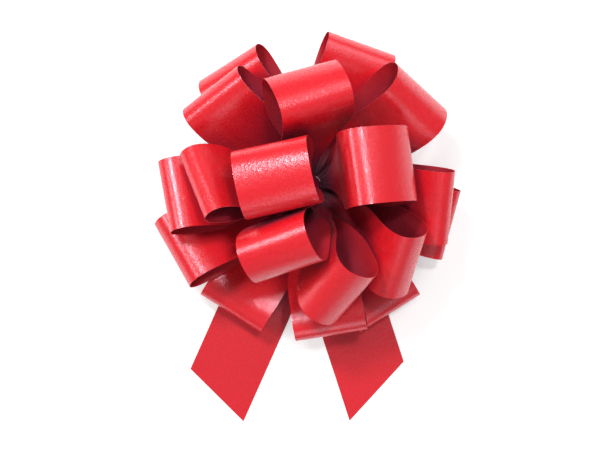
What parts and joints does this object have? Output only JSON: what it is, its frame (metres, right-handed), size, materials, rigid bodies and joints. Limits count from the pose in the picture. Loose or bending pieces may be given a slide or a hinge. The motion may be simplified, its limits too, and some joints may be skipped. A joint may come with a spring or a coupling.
{
  "type": "gift bow",
  "caption": "Pre-made gift bow of red satin ribbon: wide loops in a rosette on a stack of welded necks, drawn up on pull strings, with two flat tails.",
  "frame": {"origin": "on the bow's axis, at the back of the knot, on the surface that the bow lies on", "axes": "+Z along the bow's axis, away from the parcel; the tails point towards -Y; +X to the right seen from the front"},
  "size_m": [0.1348, 0.1748, 0.0737],
  "materials": {
    "satin_ribbon": "red satin ribbon with a fine pressed grain, bright across its folds",
    "welded_neck": "the same ribbon notched narrow and heat-welded, darker and duller",
    "pull_string": "narrow flat red pull ribbon"
  },
  "bodies": {
    "hub": {"neck_01": "welded_neck", "neck_02": "welded_neck", "neck_03": "welded_neck", "neck_04": "welded_neck", "neck_05": "welded_neck", "neck_06": "welded_neck", "neck_07": "welded_neck", "neck_08": "welded_neck", "neck_09": "welded_neck", "neck_10": "welded_neck", "pull_string_1": "pull_string", "pull_string_2": "pull_string", "back_knot": "pull_string"},
    "loop_01": {"loop_01": "satin_ribbon"},
    "loop_02": {"loop_02": "satin_ribbon"},
    "loop_03": {"loop_03": "satin_ribbon"},
    "loop_04": {"loop_04": "satin_ribbon"},
    "loop_05": {"loop_05": "satin_ribbon"},
    "loop_06": {"loop_06": "satin_ribbon"},
    "loop_07": {"loop_07": "satin_ribbon"},
    "loop_08": {"loop_08": "satin_ribbon"},
    "loop_09": {"loop_09": "satin_ribbon"},
    "loop_10": {"loop_10": "satin_ribbon"},
    "loop_11": {"loop_11": "satin_ribbon"},
    "loop_12": {"loop_12": "satin_ribbon"},
    "loop_13": {"loop_13": "satin_ribbon"},
    "loop_14": {"loop_14": "satin_ribbon"},
    "loop_15": {"loop_15": "satin_ribbon"},
    "loop_16": {"loop_16": "satin_ribbon"},
    "loop_17": {"loop_17": "satin_ribbon"},
    "loop_18": {"loop_18": "satin_ribbon"},
    "tail_left": {"tail_left": "satin_ribbon"},
    "tail_right": {"tail_right": "satin_ribbon"}
  },
  "joints": [
    {"name": "loop_01_twist", "type": "hinge", "parent": "hub", "child": "loop_01", "pos_m": [-0.00265, -0.00424, 0.0022], "axis": [-0.526, -0.8417, 0.1219], "range_deg": [-2, 2]},
    {"name": "loop_02_twist", "type": "hinge", "parent": "hub", "child": "loop_02", "pos_m": [0.00171, 0.0047, 0.00295], "axis": [0.3357, 0.9224, 0.1908], "range_deg": [-2, 2]},
    {"name": "loop_03_twist", "type": "hinge", "parent": "hub", "child": "loop_03", "pos_m": [0.00265, -0.00424, 0.0037], "axis": [0.5279, -0.8448, 0.0872], "range_deg": [-2, 2]},
    {"name": "loop_04_twist", "type": "hinge", "parent": "hub", "child": "loop_04", "pos_m": [-0.0028, 0.00415, 0.00445], "axis": [-0.547, 0.8109, 0.2079], "range_deg": [-2, 2]},
    {"name": "loop_05_twist", "type": "hinge", "parent": "hub", "child": "loop_05", "pos_m": [0.00481, -0.00138, 0.0052], "axis": [0.9467, -0.2714, 0.1736], "range_deg": [-2, 2]},
    {"name": "loop_06_twist", "type": "hinge", "parent": "hub", "child": "loop_06", "pos_m": [0.0007, -0.00495, 0.00595], "axis": [0.1338, -0.9519, 0.2756], "range_deg": [-2, 2]},
    {"name": "loop_07_twist", "type": "hinge", "parent": "hub", "child": "loop_07", "pos_m": [-0.00445, -0.00227, 0.0067], "axis": [-0.8521, -0.4342, 0.2924], "range_deg": [-2, 2]},
    {"name": "loop_08_twist", "type": "hinge", "parent": "hub", "child": "loop_08", "pos_m": [0.00492, -0.00087, 0.00745], "axis": [0.8851, -0.1561, 0.4384], "range_deg": [-1, 2]},
    {"name": "loop_09_twist", "type": "hinge", "parent": "hub", "child": "loop_09", "pos_m": [-0.00366, 0.00341, 0.0082], "axis": [-0.6573, 0.613, 0.4384], "range_deg": [-1, 2]},
    {"name": "loop_10_twist", "type": "hinge", "parent": "hub", "child": "loop_10", "pos_m": [0.00383, -0.00321, 0.00895], "axis": [0.6351, -0.5329, 0.5592], "range_deg": [-1, 2]},
    {"name": "loop_11_twist", "type": "hinge", "parent": "hub", "child": "loop_11", "pos_m": [0.00383, 0.00321, 0.0097], "axis": [0.7103, 0.596, 0.3746], "range_deg": [-2, 2]},
    {"name": "loop_12_twist", "type": "hinge", "parent": "hub", "child": "loop_12", "pos_m": [-0.00498, -0.00044, 0.01045], "axis": [-0.9029, -0.079, 0.4226], "range_deg": [-1, 2]},
    {"name": "loop_13_twist", "type": "hinge", "parent": "hub", "child": "loop_13", "pos_m": [0.00129, -0.00483, 0.0112], "axis": [0.1983, -0.7399, 0.6428], "range_deg": [-2, 1]},
    {"name": "loop_14_twist", "type": "hinge", "parent": "hub", "child": "loop_14", "pos_m": [-0.00017, 0.005, 0.01195], "axis": [-0.0229, 0.6557, 0.7547], "range_deg": [-1, 2]},
    {"name": "loop_15_twist", "type": "hinge", "parent": "hub", "child": "loop_15", "pos_m": [-0.005, 0, 0.0127], "axis": [-0.7431, 0, 0.6691], "range_deg": [-2, 0.5]},
    {"name": "loop_16_twist", "type": "hinge", "parent": "hub", "child": "loop_16", "pos_m": [-0.00203, -0.00457, 0.01345], "axis": [-0.2034, -0.4568, 0.866], "range_deg": [-1, 2]},
    {"name": "loop_17_twist", "type": "hinge", "parent": "hub", "child": "loop_17", "pos_m": [0.00487, 0.00112, 0.0142], "axis": [0.5307, 0.1225, 0.8387], "range_deg": [-2, 2]},
    {"name": "loop_18_twist", "type": "hinge", "parent": "hub", "child": "loop_18", "pos_m": [-0.00495, 0.0007, 0.01495], "axis": [-0.1889, 0.0266, 0.9816], "range_deg": [-0.5, 2]},
    {"name": "tail_left_swing", "type": "hinge", "parent": "hub", "child": "tail_left", "pos_m": [0, 0, 0.0002], "axis": [0, 0, 1], "range_deg": [-20, 3]},
    {"name": "tail_right_swing", "type": "hinge", "parent": "hub", "child": "tail_right", "pos_m": [0, 0, 0.0002], "axis": [0, 0, 1], "range_deg": [-3, 20]}
  ]
}
